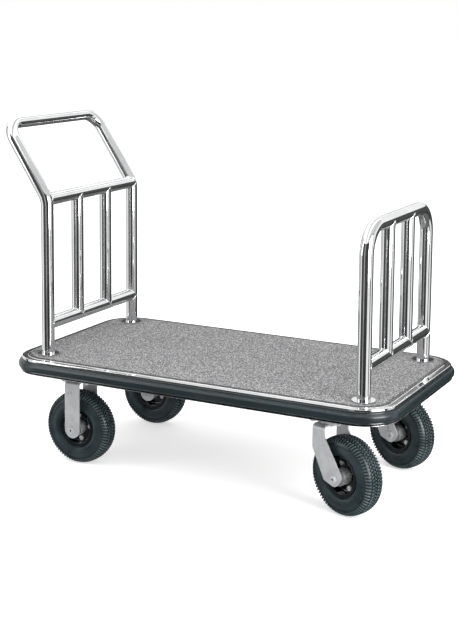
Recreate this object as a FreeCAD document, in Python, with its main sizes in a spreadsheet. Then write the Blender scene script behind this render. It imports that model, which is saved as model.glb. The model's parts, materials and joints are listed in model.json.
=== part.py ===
"""Four-wheel hotel luggage cart, a parametric FreeCAD document.

Frame: millimetres, +Z up. The origin lies on the floor under the middle of the overall box.
The push handle is at -X, the lower hoop at +X. Right is -Y and left is +Y for someone who pushes.
"""
import FreeCAD, Part
import math
import os
import re
import Sketcher

os.makedirs("parts", exist_ok=True)
doc = FreeCAD.newDocument("luggage_cart")
Vector = FreeCAD.Vector
X_AXIS, Y_AXIS, Z_AXIS = Vector(1, 0, 0), Vector(0, 1, 0), Vector(0, 0, 1)

# ---------------------------------------------------------------- driving dimensions
SIZES = {
    # tubes: 38.1 is the common 1.5 inch round tube
    "tube_diameter": 38.1,
    "tube_wall": 1.5,
    "post_x": 501.0,
    "post_y": 235.5,
    "bar_y": 78.5,
    # heights above the carpet, to the tube centre lines
    "handle_kink_rise": 462.5,
    "handle_top_rise": 679.7,
    "handle_setback": 144.5,
    "handle_rail_rise": 91.6,
    "handle_corner_bend": 57.0,
    "handle_kink_bend": 70.0,
    "hoop_rise": 459.0,
    "hoop_rail_rise": 89.0,
    "hoop_corner_bend": 76.0,
    # deck
    "carpet_top": 318.5,
    "carpet_thickness": 6.0,
    "carpet_margin": 7.0,
    "board_length": 1150.0,
    "board_width": 600.0,
    "board_corner": 88.0,
    "board_thickness": 18.0,
    "ring_depth": 27.0,
    "ring_flange": 30.0,
    "ring_wall": 3.0,
    "cross_rail_width": 104.0,
    "cross_rail_drop": 10.0,
    "cross_rail_wall": 4.0,
    "cross_rail_length": 516.0,
    "stiffener_width": 60.0,
    "trim_reach": 15.0,
    "trim_wall": 2.0,
    "trim_bead": 4.0,
    "trim_height": 39.0,
    "bumper_reach": 25.0,
    "bumper_height": 31.5,
    # post feet
    "flange_radius": 32.0,
    "flange_thickness": 3.0,
    "spigot_radius": 17.4,
    "spigot_height": 25.0,
    "post_bolt_radius": 5.0,
    "post_bolt_grip": 44.0,
    "bolt_head_height": 7.0,
    # casters
    "caster_x": 399.0,
    "rear_caster_y": 215.5,
    "front_caster_y": 211.0,
    "plate_length": 96.0,
    "plate_width": 84.0,
    "plate_thickness": 5.0,
    "plate_bolt_x": 38.0,
    "plate_bolt_y": 32.0,
    "plate_bolt_radius": 5.0,
    "plate_corner": 10.0,
    "plate_bolt_head": 6.0,
    "plate_bolt_nut": 7.0,
    "strap_wall": 5.0,
    "strap_half_span": 50.0,
    "strap_bend": 12.0,
    "rear_strap_half_width": 24.5,
    "front_strap_half_width": 20.5,
    "axle_eye_radius": 24.0,
    "trail": 62.0,
    "swivel_angle": -20.0,
    "race_radius": 36.0,
    "race_depth": 7.5,
    "race_gap": 0.5,
    "race_disc": 3.0,
    "kingpin_radius": 8.0,
    "kingpin_clearance": 0.05,
    "kingpin_head_radius": 13.0,
    "kingpin_head_height": 7.0,
    "kingpin_head_gap": 0.4,
    "fork_knee_height": 178.0,
    "fork_shin_height": 213.0,
    "fork_heel_x": 24.0,
    "fork_heel_height": 96.0,
    # wheels
    "axle_height": 108.0,
    "axle_radius": 6.0,
    "axle_clearance": 0.05,
    "hex_radius": 10.5,
    "hex_height": 7.5,
    "spacer_radius": 11.0,
    "spacer_start": 33.4,
    "tyre_radius": 108.0,
    "tyre_half_width": 33.0,
    "tyre_shoulder": 9.0,
    "tyre_wall": 8.0,
    "bead_radius": 48.0,
    "bead_half_width": 24.0,
    "rim_wall": 2.0,
    "rim_flange_radius": 55.0,
    "cup_radius": 20.0,
    "cup_end": 34.0,
    "cup_stop_radius": 13.0,
    "bearing_width": 12.0,
    "bearing_end": 33.0,
    "tube_gap": 0.5,
    "inner_tube_wall": 2.0,
    "valve_radius": 3.0,
    "valve_start": 30.0,
    "valve_length": 28.0,
    "valve_offset": 13.5,
    "rim_bolt_circle": 35.0,
    "rim_bolt_radius": 4.0,
    "rim_bolt_hex": 7.5,
    "rim_bolt_height": 6.0,
}
sheet = doc.addObject("Spreadsheet::Sheet", "Sizes")
for row, (alias, size) in enumerate(SIZES.items(), start=1):
    sheet.set(f"A{row}", alias)
    sheet.set(f"B{row}", str(size))
    sheet.setAlias(f"B{row}", alias)
doc.recompute()

# Heights above the floor and the deck's place along X, as formulas on the sheet.
TUBE_RADIUS = "tube_diameter / 2"
BOARD_TOP = "(carpet_top - carpet_thickness)"
BOARD_BOTTOM = f"({BOARD_TOP} - board_thickness)"
RING_BOTTOM = f"({BOARD_BOTTOM} - ring_depth)"
RAIL_BOTTOM = f"({RING_BOTTOM} - cross_rail_drop)"
PLATE_BOTTOM = f"({RAIL_BOTTOM} - plate_thickness)"
RACE_TOP = f"({PLATE_BOTTOM} - race_depth - race_gap)"
CROWN_TOP = f"({RACE_TOP} - race_disc)"
CROWN_BOTTOM = f"({CROWN_TOP} - strap_wall)"
FOOT_TOP = "(carpet_top + flange_thickness)"
DECK_X = "((post_x + handle_setback + tube_diameter / 2 - board_length / 2 - bumper_reach) / 2)"


def on_sheet(text):
    """A formula in plain alias names, as FreeCAD wants it: each alias prefixed by its sheet."""
    return re.sub(r"[a-z_]+", lambda m: "Sizes." + m[0] if m[0] in SIZES else m[0], str(text))


def value(text):
    """The number that a formula gives with the sheet's present sizes."""
    return float(sheet.evalExpression(on_sheet(text)))


def bind(obj, **formulas):
    for name, text in formulas.items():
        obj.setExpression(name, on_sheet(text))
    return obj


def place(obj, x=0, y=0, z=0, turn=None):
    """Put an object at a point given by formulas, turned by (axis, degrees formula)."""
    if turn:
        axis, angle = turn
        obj.Placement = FreeCAD.Placement(Vector(), FreeCAD.Rotation(axis, value(angle)))
        if not isinstance(angle, (int, float)):
            obj.setExpression("Placement.Rotation.Angle", on_sheet(angle))
    for key, text in (("x", x), ("y", y), ("z", z)):
        obj.setExpression("Placement.Base." + key, on_sheet(text))
    return obj


ALONG = {"x": (Y_AXIS, 90), "y": (X_AXIS, -90), "z": None}


def cylinder(name, radius, length, x=0, y=0, z=0, along="z"):
    obj = bind(doc.addObject("Part::Cylinder", name), Radius=radius, Height=length)
    return place(obj, x, y, z, ALONG[along])


def block(name, length, width, height, x, y, z):
    """A box centred on x and y that stands on z."""
    obj = bind(doc.addObject("Part::Box", name), Length=length, Width=width, Height=height)
    return place(obj, f"{x} - ({length}) / 2", f"{y} - ({width}) / 2", z)


def hexagon(name, radius, length, x, y, z, along="z"):
    obj = bind(doc.addObject("Part::Prism", name), Circumradius=radius, Height=length)
    obj.Polygon = 6
    return place(obj, x, y, z, ALONG[along])


def fuse(name, pieces):
    obj = doc.addObject("Part::MultiFuse", name)
    obj.Shapes = pieces
    return obj


def cut(name, base, tools):
    obj = doc.addObject("Part::Cut", name)
    obj.Base = base
    obj.Tool = tools[0] if len(tools) == 1 else fuse(name + "_tools", tools)
    return obj


def common(name, first, second):
    obj = doc.addObject("Part::Common", name)
    obj.Base, obj.Tool = first, second
    return obj


# ---------------------------------------------------------------- sketches
def origin_plane(body, role):
    return next(f for f in body.Origin.OriginFeatures if f.Role == role)


def new_sketch(owner, name, role="XY_Plane"):
    sketch = owner.newObject("Sketcher::SketchObject", name)
    sketch.AttachmentSupport = (origin_plane(owner, role), "")
    sketch.MapMode = "FlatFace"
    return sketch


def pin(sketch, geometry, point, x, y):
    """Fix one point of a sketch at the place that two formulas give."""
    for kind, text in (("DistanceX", x), ("DistanceY", y)):
        index = sketch.addConstraint(
            Sketcher.Constraint(kind, -1, 1, geometry, point, value(text)))
        sketch.setExpression(f"Constraints[{index}]", on_sheet(text))


def outline(sketch, corners):
    """A closed outline. Each corner is (x, y) or (x, y, radius) in formulas or numbers."""
    spots = [Vector(value(c[0]), value(c[1]), 0) for c in corners]
    radii = [value(c[2]) if len(c) > 2 else 0 for c in corners]
    ends, arcs = [], []
    for i, spot in enumerate(spots):
        before = (spots[i - 1] - spot).normalize()
        after = (spots[(i + 1) % len(spots)] - spot).normalize()
        if not radii[i]:
            ends.append((spot, spot))
            arcs.append(None)
            continue
        half = before.getAngle(after) / 2
        reach = radii[i] / math.tan(half)
        centre = spot + (before + after).normalize() * (radii[i] / math.sin(half))
        first, last = spot + before * reach, spot + after * reach
        middle = centre + (spot - centre).normalize() * radii[i]
        ends.append((first, last))
        arcs.append(Part.Arc(first, middle, last))
    lines = [sketch.addGeometry(Part.LineSegment(ends[i][1], ends[(i + 1) % len(ends)][0]), False)
             for i in range(len(spots))]
    for i, corner in enumerate(corners):
        line_in, line_out = lines[i - 1], lines[i]
        if arcs[i] is None:
            sketch.addConstraint(Sketcher.Constraint("Coincident", line_in, 2, line_out, 1))
            pin(sketch, line_out, 1, corner[0], corner[1])
            continue
        arc = sketch.addGeometry(arcs[i], False)
        turns_left = (ends[i][0] - spots[i]).cross(ends[i][1] - spots[i]).z < 0
        start, end = (1, 2) if turns_left else (2, 1)
        sketch.addConstraint(Sketcher.Constraint("Tangent", line_in, 2, arc, start))
        sketch.addConstraint(Sketcher.Constraint("Tangent", arc, end, line_out, 1))
        index = sketch.addConstraint(Sketcher.Constraint("Radius", arc, radii[i]))
        sketch.setExpression(f"Constraints[{index}]", on_sheet(corner[2]))
        point = sketch.addGeometry(Part.Point(spots[i]), True)
        sketch.addConstraint(Sketcher.Constraint("PointOnObject", point, 1, line_in))
        sketch.addConstraint(Sketcher.Constraint("PointOnObject", point, 1, line_out))
        pin(sketch, point, 1, corner[0], corner[1])
    return sketch


def rectangle(half_length, half_width, radius):
    """Corners of a rounded rectangle about the sketch's origin."""
    return [(f"({half_length}) * {sx}", f"({half_width}) * {sy}", radius)
            for sx, sy in ((1, -1), (1, 1), (-1, 1), (-1, -1))]


# ---------------------------------------------------------------- PartDesign bodies
def new_body(name):
    return doc.addObject("PartDesign::Body", name)


def pad(body, sketch, length, midplane=False, feature="PartDesign::Pad"):
    obj = body.newObject(feature, sketch.Name + "_" + feature.split("::")[1].lower())
    obj.Profile = sketch
    obj.Midplane = midplane
    return bind(obj, Length=length)


def revolve(body, sketch):
    """Turn a sketch on the XY plane round its vertical axis, the body's Y."""
    obj = body.newObject("PartDesign::Revolution", sketch.Name + "_revolution")
    obj.Profile = sketch
    obj.ReferenceAxis = (sketch, ["V_Axis"])
    obj.Angle = 360.0
    return obj


def slab(name, inset, thickness, bottom):
    """A rounded plate with the deck's outline, inset by a margin."""
    body = new_body(name)
    sketch = new_sketch(body, name + "_outline")
    outline(sketch, rectangle(f"board_length / 2 - ({inset})", f"board_width / 2 - ({inset})",
                              f"board_corner - ({inset})"))
    pad(body, sketch, thickness)
    return place(body, DECK_X, 0, bottom)


def deck_edge_ring(name, section, bottom):
    """Sweep a section round the deck's edge. Its corners are (out from the board's edge, up)."""
    body = new_body(name)
    path = new_sketch(body, name + "_path")
    half_length, half_width = "board_length / 2", "board_width / 2"
    start_side = value(half_length)
    side = value(half_width) - value("board_corner")
    first = path.addGeometry(
        Part.LineSegment(Vector(start_side, 0, 0), Vector(start_side, side, 0)), False)
    round_trip(path, first, half_length, half_width, "board_corner")
    profile = new_sketch(body, name + "_section", "XZ_Plane")
    outline(profile, [(f"{half_length} + ({c[0]})",) + tuple(c[1:]) for c in section])
    sweep = body.newObject("PartDesign::AdditivePipe", name + "_sweep")
    sweep.Profile = profile
    sweep.Spine = path
    return place(body, DECK_X, 0, bottom)


def round_trip(path, first, half_length, half_width, radius):
    """Close a rounded rectangle that starts with a half side already drawn from (length, 0)."""
    a, b, r = value(half_length), value(half_width), value(radius)
    previous = first
    sides = [((a - r, b), (r - a, b)), ((-a, b - r), (-a, r - b)),
             ((r - a, -b), (a - r, -b)), ((a, r - b), (a, 0))]
    centres = [(a - r, b - r), (r - a, b - r), (r - a, r - b), (a - r, r - b)]
    pin(path, first, 1, half_length, 0)
    path.addConstraint(Sketcher.Constraint("Vertical", first))
    arcs = []
    for quarter, (side, centre) in enumerate(zip(sides, centres)):
        begin = quarter * math.pi / 2
        circle = Part.Circle(Vector(*centre, 0), Z_AXIS, r)
        arc = path.addGeometry(Part.ArcOfCircle(circle, begin, begin + math.pi / 2), False)
        line = path.addGeometry(Part.LineSegment(Vector(*side[0], 0), Vector(*side[1], 0)), False)
        path.addConstraint(Sketcher.Constraint("Tangent", previous, 2, arc, 1))
        path.addConstraint(Sketcher.Constraint("Tangent", arc, 2, line, 1))
        path.addConstraint(
            Sketcher.Constraint("Horizontal" if quarter in (0, 2) else "Vertical", line))
        arcs.append(arc)
        previous = line
    path.addConstraint(Sketcher.Constraint("Coincident", previous, 2, first, 1))
    index = path.addConstraint(Sketcher.Constraint("Radius", arcs[0], r))
    path.setExpression(f"Constraints[{index}]", on_sheet(radius))
    for arc in arcs[1:]:
        path.addConstraint(Sketcher.Constraint("Equal", arcs[0], arc))
    for kind, line, text in (("DistanceY", arcs[0] + 1, half_width),
                             ("DistanceX", arcs[1] + 1, f"-({half_length})"),
                             ("DistanceY", arcs[2] + 1, f"-({half_width})")):
        index = path.addConstraint(Sketcher.Constraint(kind, -1, 1, line, 1, value(text)))
        path.setExpression(f"Constraints[{index}]", on_sheet(text))


# ---------------------------------------------------------------- deck
def build_deck():
    carpet = slab("carpet_shape", "carpet_margin", "carpet_thickness", BOARD_TOP)
    board = slab("board_shape", "0", "board_thickness", BOARD_BOTTOM)
    for name, plate, depth, bottom in (("carpet_mat", carpet, "carpet_thickness", BOARD_TOP),
                                       ("deck_board", board, "board_thickness", BOARD_BOTTOM)):
        holes = [cylinder(f"{name}_hole_{i}", "post_bolt_radius + 0.5", f"{depth} + 2",
                          x, y, f"{bottom} - 1") for i, (x, y) in enumerate(post_spots())]
        finish(cut(name + "_node", plate, holes), name)

    flange, wall, depth = "ring_flange", "ring_wall", "ring_depth"
    ring = deck_edge_ring("underframe_ring_body", [
        ("0", "0"), ("0", depth), (f"-{flange}", depth), (f"-{flange}", f"{depth} - {wall}"),
        (f"-{wall}", f"{depth} - {wall}"), (f"-{wall}", wall), (f"-{flange}", wall),
        (f"-{flange}", "0")], RING_BOTTOM)
    finish(ring, "underframe_ring")

    lip = "trim_height"
    trim = deck_edge_ring("edge_channel_body", [
        ("0", lip), ("-carpet_margin + 0.5", lip), ("-carpet_margin + 0.5", f"{lip} + trim_bead", 1),
        ("0", f"{lip} + trim_bead", 2), ("trim_wall + 3", f"{lip} - 1", 2),
        ("trim_reach", f"{lip} - 2.5", 1), ("trim_reach", f"{lip} - trim_wall - 2.5", 0.8),
        ("trim_wall", f"{lip} - trim_wall - 2.5"), ("trim_wall", "trim_wall"),
        ("trim_reach - 3", "trim_wall", 0.8), ("trim_reach - 3", "0", 0.8), ("0", "0")],
        f"{BOARD_TOP} - trim_height")
    finish(trim, "edge_channel")

    top, reach = "bumper_height", "bumper_reach"
    bumper = deck_edge_ring("bumper_strip_body", [
        ("trim_wall + 0.2", "0"), ("trim_wall + 0.2", top), ("trim_reach + 2", top, 3),
        (reach, f"{top} - 5", 8), (reach, "7", 9), ("trim_reach", "0", 4)],
        f"{BOARD_TOP} - trim_height + trim_wall + 0.3")
    finish(bumper, "bumper_strip")

    rails = [cross_rail(i, x, width) for i, (x, width) in enumerate((
        (f"{DECK_X} - caster_x", "cross_rail_width"), (DECK_X, "stiffener_width"),
        (f"{DECK_X} + caster_x", "cross_rail_width")))]
    finish(fuse("cross_rails", rails), "underframe_cross_rails")


def cross_rail(number, x, width):
    """A channel under the board, open at the top, with holes for the caster plate bolts."""
    name = f"cross_rail_{number}"
    height = f"{BOARD_BOTTOM} - {RAIL_BOTTOM}"
    outer = block(name + "_outer", width, "cross_rail_length", height, x, 0, RAIL_BOTTOM)
    hollow = block(name + "_hollow", f"{width} - 2 * cross_rail_wall", "cross_rail_length + 2",
                   height, x, 0, f"{RAIL_BOTTOM} + cross_rail_wall")
    holes = []
    if number != 1:
        y = "rear_caster_y" if number == 0 else "front_caster_y"
        holes = [cylinder(f"{name}_bolt_hole_{i}", "plate_bolt_radius + 0.3", "cross_rail_wall + 2",
                          f"{x} + {dx}", f"{side} * {y} + {dy}", f"{RAIL_BOTTOM} - 1")
                 for i, (side, dx, dy) in enumerate(
                     (side, dx, dy) for side in (-1, 1) for dx, dy in plate_bolt_spots())]
    return cut(name, outer, [hollow] + holes)


# ---------------------------------------------------------------- tube frames
def post_spots():
    return [(f"{DECK_X} + {end} * post_x", f"{side} * post_y")
            for end in (-1, 1) for side in (-1, 1)]


def rounded_path(points, radii):
    """Straight runs joined by tangent arcs. radii are those of the inner points."""
    edges, start = [], points[0]
    for before, spot, after, radius in zip(points, points[1:], points[2:], radii):
        back, ahead = (before - spot).normalize(), (after - spot).normalize()
        half = back.getAngle(ahead) / 2
        reach = radius / math.tan(half)
        centre = spot + (back + ahead).normalize() * (radius / math.sin(half))
        middle = centre + (spot - centre).normalize() * radius
        edges.append(Part.LineSegment(start, spot + back * reach).toShape())
        edges.append(Part.Arc(spot + back * reach, middle, spot + ahead * reach).toShape())
        start = spot + ahead * reach
    edges.append(Part.LineSegment(start, points[-1]).toShape())
    return Part.Wire(edges)


def bent_bar(name, path, radius):
    """A round bar along a path that no plane holds, so its Shape is set here."""
    first = path.Edges[0]
    direction = first.tangentAt(first.FirstParameter)
    circle = Part.Circle(first.firstVertex().Point, direction, radius)
    obj = doc.addObject("Part::Feature", name)
    obj.Shape = path.makePipeShell([Part.Wire(circle.toShape())], True, False)
    return obj


def bent_tube(name, path):
    """The solid bar and the hollow tube of one path."""
    radius = value(TUBE_RADIUS)
    outer = bent_bar(name + "_outer", path, radius)
    inner = bent_bar(name + "_inner", path, radius - value("tube_wall"))
    return outer, cut(name + "_body", outer, [inner])


def straight_tube(name, length, x, y, z, along, joined):
    """A tube whose ends are cut to fit the bars that it is welded to."""
    outer = cylinder(name + "_outer", TUBE_RADIUS, length, x, y, z, along)
    inner = cylinder(name + "_inner", f"{TUBE_RADIUS} - tube_wall", length, x, y, z, along)
    hollow = cut(name + "_hollow", outer, [inner])
    return outer, cut(name + "_body", hollow, joined)


def frame_tubes(prefix, path, end, rail_rise, top_rise):
    """One end frame: the bent tube, its lower rail and the two bars. Returns the bent tube's bar."""
    x = f"{DECK_X} + {end} * post_x"
    outer, tube = bent_tube(prefix + "_tube", path)
    finish(tube, prefix + "_tube")
    rail_bar, rail = straight_tube(prefix + "_rail", "2 * post_y", x, "-post_y",
                                   f"carpet_top + {rail_rise}", "y", [outer])
    finish(rail, prefix + "_lower_rail")
    top_bar = outer
    if prefix == "handle":
        top_bar, crossbar = straight_tube("crossbar", "2 * post_y", x, "-post_y",
                                          f"carpet_top + {top_rise}", "y", [outer])
        finish(crossbar, "handle_crossbar")
    for side, label in ((-1, "right"), (1, "left")):
        _, bar = straight_tube(f"{prefix}_bar_{label}", f"{top_rise} - {rail_rise}", x,
                               f"{side} * bar_y", f"carpet_top + {rail_rise}", "z",
                               [rail_bar, top_bar])
        finish(bar, f"{prefix}_bar_{label}")


def build_frames():
    foot, side = value(FOOT_TOP), value("post_y")
    top = value("carpet_top + handle_top_rise")
    kink = value("carpet_top + handle_kink_rise")
    post, back = value(f"{DECK_X} - post_x"), value(f"{DECK_X} - post_x - handle_setback")
    corner, bend = value("handle_corner_bend"), value("handle_kink_bend")
    handle = rounded_path(
        [Vector(post, -side, foot), Vector(post, -side, kink), Vector(back, -side, top),
         Vector(back, side, top), Vector(post, side, kink), Vector(post, side, foot)],
        [bend, corner, corner, bend])
    frame_tubes("handle", handle, -1, "handle_rail_rise", "handle_kink_rise")

    post, top = value(f"{DECK_X} + post_x"), value("carpet_top + hoop_rise")
    corner = value("hoop_corner_bend")
    hoop = rounded_path(
        [Vector(post, -side, foot), Vector(post, -side, top),
         Vector(post, side, top), Vector(post, side, foot)], [corner, corner])
    frame_tubes("hoop", hoop, 1, "hoop_rail_rise", "hoop_rise")


def build_post_feet():
    """Floor flanges with a threaded spigot inside each post, and the bolts from under the deck."""
    feet, bolts = [], []
    for i, (x, y) in enumerate(post_spots()):
        disc = cylinder(f"foot_disc_{i}", "flange_radius", "flange_thickness", x, y, "carpet_top")
        spigot = cylinder(f"foot_spigot_{i}", "spigot_radius", "spigot_height", x, y, FOOT_TOP)
        thread = cylinder(f"foot_thread_{i}", "post_bolt_radius + 0.1", "spigot_height + 5",
                          x, y, "carpet_top - 1")
        feet.append(cut(f"foot_{i}", fuse(f"foot_blank_{i}", [disc, spigot]), [thread]))
        shank = cylinder(f"post_shank_{i}", "post_bolt_radius", "post_bolt_grip", x, y, BOARD_BOTTOM)
        washer = cylinder(f"post_washer_{i}", "2.4 * post_bolt_radius", 2, x, y,
                          f"{BOARD_BOTTOM} - 2")
        head = hexagon(f"post_head_{i}", "1.9 * post_bolt_radius", "bolt_head_height", x, y,
                       f"{BOARD_BOTTOM} - 2 - bolt_head_height")
        bolts.append(fuse(f"post_bolt_{i}", [shank, washer, head]))
    finish(fuse("feet", feet), "post_flanges")
    finish(fuse("foot_bolts", bolts), "post_bolts")


# ---------------------------------------------------------------- casters
def plate_bolt_spots():
    return [(f"{sx} * plate_bolt_x", f"{sy} * plate_bolt_y") for sx in (-1, 1) for sy in (-1, 1)]


def caster_plate(name, x, y):
    """The flat top plate with its four bolt holes."""
    body = new_body(name + "_plate_body")
    sketch = new_sketch(body, name + "_plate_outline")
    outline(sketch, rectangle("plate_length / 2", "plate_width / 2", "plate_corner"))
    pad(body, sketch, "plate_thickness")
    place(body, x, y, PLATE_BOTTOM)
    holes = [cylinder(f"{name}_plate_hole_{i}", "plate_bolt_radius + 0.3", "plate_thickness + 2",
                      f"{x} + {dx}", f"{y} + {dy}", f"{PLATE_BOTTOM} - 1")
             for i, (dx, dy) in enumerate(plate_bolt_spots())]
    return cut(name + "_plate", body, holes)


def bent_strap(name, leg, top, eye_x, x, y, turn=None):
    """A strap bent to a U over the wheel: the legs' outline crossed with the U seen end on.

    eye_x is the axle's distance from the strap's own origin, along its own X.
    """
    legs = new_body(name + "_legs")
    side_view = new_sketch(legs, name + "_side_view", "XZ_Plane")
    outline(side_view, leg)
    pad(legs, side_view, "2 * strap_half_span + 2", midplane=True)
    arch = new_body(name + "_arch")
    end_view = new_sketch(arch, name + "_end_view", "YZ_Plane")
    half, wall, bend = "strap_half_span", "strap_wall", "strap_bend"
    inner = f"({half} - {wall})"
    outline(end_view, [
        (half, 0), (half, top, bend), (f"-{half}", top, bend), (f"-{half}", 0), (f"-{inner}", 0),
        (f"-{inner}", f"{top} - {wall}", f"{bend} - {wall}"),
        (inner, f"{top} - {wall}", f"{bend} - {wall}"), (inner, 0)])
    pad(arch, end_view, 240, midplane=True)
    eyes = cylinder(name + "_eyes", "axle_radius + 0.2", "2 * strap_half_span + 4", eye_x,
                    "-strap_half_span - 2", "axle_height", "y")
    strap = cut(name + "_strap", common(name + "_bend", legs, arch), [eyes])
    return place(strap, x, y, 0, turn)


def rigid_leg():
    half = "rear_strap_half_width"
    toe, bend = f"axle_height - {half}", f"{half} - 0.1"
    return [(f"-{half}", PLATE_BOTTOM), (f"-{half}", toe, bend), (half, toe, bend),
            (half, PLATE_BOTTOM)]


def swivel_leg():
    """A short upright strap that slants back to the axle eye, seen from the side."""
    half = "front_strap_half_width"
    return [(f"-{half}", CROWN_TOP), (f"-{half}", "fork_knee_height", 6),
            ("fork_heel_x", "fork_heel_height", 8),
            ("trail + 4", "axle_height - axle_eye_radius - 1", "axle_eye_radius - 6"),
            ("trail + axle_eye_radius + 2", "axle_height + 6", "axle_eye_radius - 6"),
            (half, "fork_shin_height", 10), (half, CROWN_TOP)]


def caster_sides():
    return (("right", -1), ("left", 1))


def build_rear_casters():
    axles, nuts, spacers = [], [], []
    for label, side in caster_sides():
        name = "rear_bracket_" + label
        x, y = f"{DECK_X} - caster_x", f"{side} * rear_caster_y"
        strap = bent_strap(name, rigid_leg(), PLATE_BOTTOM, 0, x, y)
        finish(fuse(name + "_welded", [caster_plate(name, x, y), strap]), name)
        bolt, nut, sleeves = axle_set("rear_" + label, side)
        for pieces, group in ((bolt, axles), (nut, nuts), (sleeves, spacers)):
            group.append(place(pieces, x, y, "axle_height"))
    finish(fuse("rear_axle_group", axles), "rear_axles")
    finish(fuse("rear_nut_group", nuts), "rear_axle_nuts")
    finish(fuse("rear_spacer_group", spacers), "rear_axle_spacers")


def axle_set(name, side):
    """Axle bolt, lock nut and two sleeves along Y about the origin. The head faces outwards."""
    span = "strap_half_span"
    shank = cylinder(name + "_shank", "axle_radius", f"2 * {span} + hex_height + 4", 0,
                     f"-{span} - {'hex_height + 3' if side > 0 else '1'}", 0, "y")
    head_y = f"-{span} - hex_height" if side < 0 else span
    nut_y = span if side < 0 else f"-{span} - hex_height"
    head = hexagon(name + "_head", "hex_radius", "hex_height", 0, head_y, 0, "y")
    bolt = fuse(name + "_axle_bolt", [shank, head])
    bore = cylinder(name + "_nut_bore", "axle_radius + 0.05", "hex_height + 2", 0, f"{nut_y} - 1",
                    0, "y")
    nut = cut(name + "_nut", hexagon(name + "_nut_hex", "hex_radius", "hex_height", 0, nut_y, 0, "y"),
              [bore])
    sleeves = []
    for i, start in enumerate((f"-{span} + strap_wall", "spacer_start")):
        length = f"{span} - strap_wall - spacer_start"
        outer = cylinder(f"{name}_sleeve_outer_{i}", "spacer_radius", length, 0, start, 0, "y")
        inner = cylinder(f"{name}_sleeve_bore_{i}", "axle_radius + 0.1", length, 0, start, 0, "y")
        sleeves.append(cut(f"{name}_sleeve_{i}", outer, [inner]))
    return bolt, nut, fuse(name + "_sleeves", sleeves)


def build_front_casters():
    kingpins = []
    turn = (Z_AXIS, "swivel_angle")
    for label, side in caster_sides():
        x, y = f"{DECK_X} + caster_x", f"{side} * front_caster_y"
        axle_x = f"{x} + trail * cos(swivel_angle * 1 deg)"
        axle_y = f"{y} + trail * sin(swivel_angle * 1 deg)"

        name = "front_swivel_plate_" + label
        race = cylinder(name + "_race", "race_radius", "race_depth", x, y,
                        f"{PLATE_BOTTOM} - race_depth")
        bore = cylinder(name + "_bore", "kingpin_radius + 0.1", "race_depth + plate_thickness + 2",
                        x, y, f"{PLATE_BOTTOM} - race_depth - 1")
        finish(cut(name + "_node", fuse(name + "_blank", [caster_plate(name, x, y), race]), [bore]),
               name)

        name = "front_fork_" + label
        strap = bent_strap(name, swivel_leg(), CROWN_TOP, "trail", x, y, turn)
        disc = cylinder(name + "_race_disc", "race_radius - 3", "race_disc + strap_wall", x, y,
                        CROWN_BOTTOM)
        pin_hole = cylinder(name + "_pin_hole", "kingpin_radius + kingpin_clearance",
                            "race_disc + strap_wall + 2", x, y, f"{CROWN_BOTTOM} - 1")
        finish(cut(name + "_node", fuse(name + "_welded", [strap, disc]), [pin_hole]), name)

        bolt, nut, sleeves = axle_set("front_" + label, side)
        for piece, node in ((bolt, "front_axle_"), (nut, "front_axle_nut_"),
                            (sleeves, "front_axle_spacers_")):
            finish(place(piece, axle_x, axle_y, "axle_height", turn), node + label)

        head_top = f"{CROWN_BOTTOM} - kingpin_head_gap"
        shank = cylinder(f"kingpin_shank_{label}", "kingpin_radius",
                         f"{RAIL_BOTTOM} - ({head_top})", x, y, head_top)
        head = hexagon(f"kingpin_head_{label}", "kingpin_head_radius", "kingpin_head_height", x, y,
                       f"{head_top} - kingpin_head_height")
        kingpins.append(fuse("kingpin_" + label, [shank, head]))
    finish(fuse("kingpin_pair", kingpins), "kingpins")


def build_plate_bolts():
    bolts = []
    for end, y in ((-1, "rear_caster_y"), (1, "front_caster_y")):
        for label, side in caster_sides():
            for i, (dx, dy) in enumerate(plate_bolt_spots()):
                name = f"plate_bolt_{'front' if end > 0 else 'rear'}_{label}_{i}"
                bolts.append(plate_bolt(name, f"{DECK_X} + {end} * caster_x + {dx}",
                                        f"{side} * {y} + {dy}"))
    finish(fuse("plate_bolt_group", bolts), "caster_plate_bolts")


def plate_bolt(name, x, y):
    """A bolt up through plate and rail, with its nut inside the rail."""
    length = "plate_thickness + cross_rail_wall + plate_bolt_nut + 2"
    shank = cylinder(name + "_shank", "plate_bolt_radius", length, x, y, PLATE_BOTTOM)
    head = hexagon(name + "_head", "1.8 * plate_bolt_radius", "plate_bolt_head", x, y,
                   f"{PLATE_BOTTOM} - plate_bolt_head")
    nut = hexagon(name + "_nut", "1.8 * plate_bolt_radius", "plate_bolt_nut", x, y,
                  f"{RAIL_BOTTOM} + cross_rail_wall")
    return fuse(name, [shank, head, nut])


# ---------------------------------------------------------------- wheels
def wheel_body(name, corners):
    """A piece of a wheel turned about its axle, which is the body's own Y axis."""
    body = new_body(name + "_body")
    sketch = new_sketch(body, name + "_section")
    outline(sketch, corners)
    revolve(body, sketch)
    return body


def tyre(name):
    radius, half, wall = "tyre_radius", "tyre_half_width", "tyre_wall"
    shoulder, bead, seat = "tyre_shoulder", "bead_radius", "bead_half_width"
    lip = "(rim_flange_radius + 1)"
    one_side = [(bead, seat), (lip, seat), (f"{lip} + 4", half, 8),
                (f"{radius} - {shoulder}", half, 9), (radius, f"{half} - {shoulder}", 8)]
    inside = [(f"{radius} - {wall} - 1", f"{half} - {shoulder} - {wall}", 6),
              (f"{radius} - {shoulder} - {wall}", f"{half} - {wall}", 8),
              (f"{lip} + 4", f"{half} - {wall}", 8), (bead, f"{seat} - 6")]
    return wheel_body(name, mirrored(one_side) + mirrored(inside[::-1])[::-1])


def mirrored(corners):
    """A half outline on the +Y side, then its mirror image back along the -Y side."""
    flipped = [(c[0], f"-({c[1]})") + tuple(c[2:]) for c in corners[::-1]]
    return list(corners) + flipped


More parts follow.
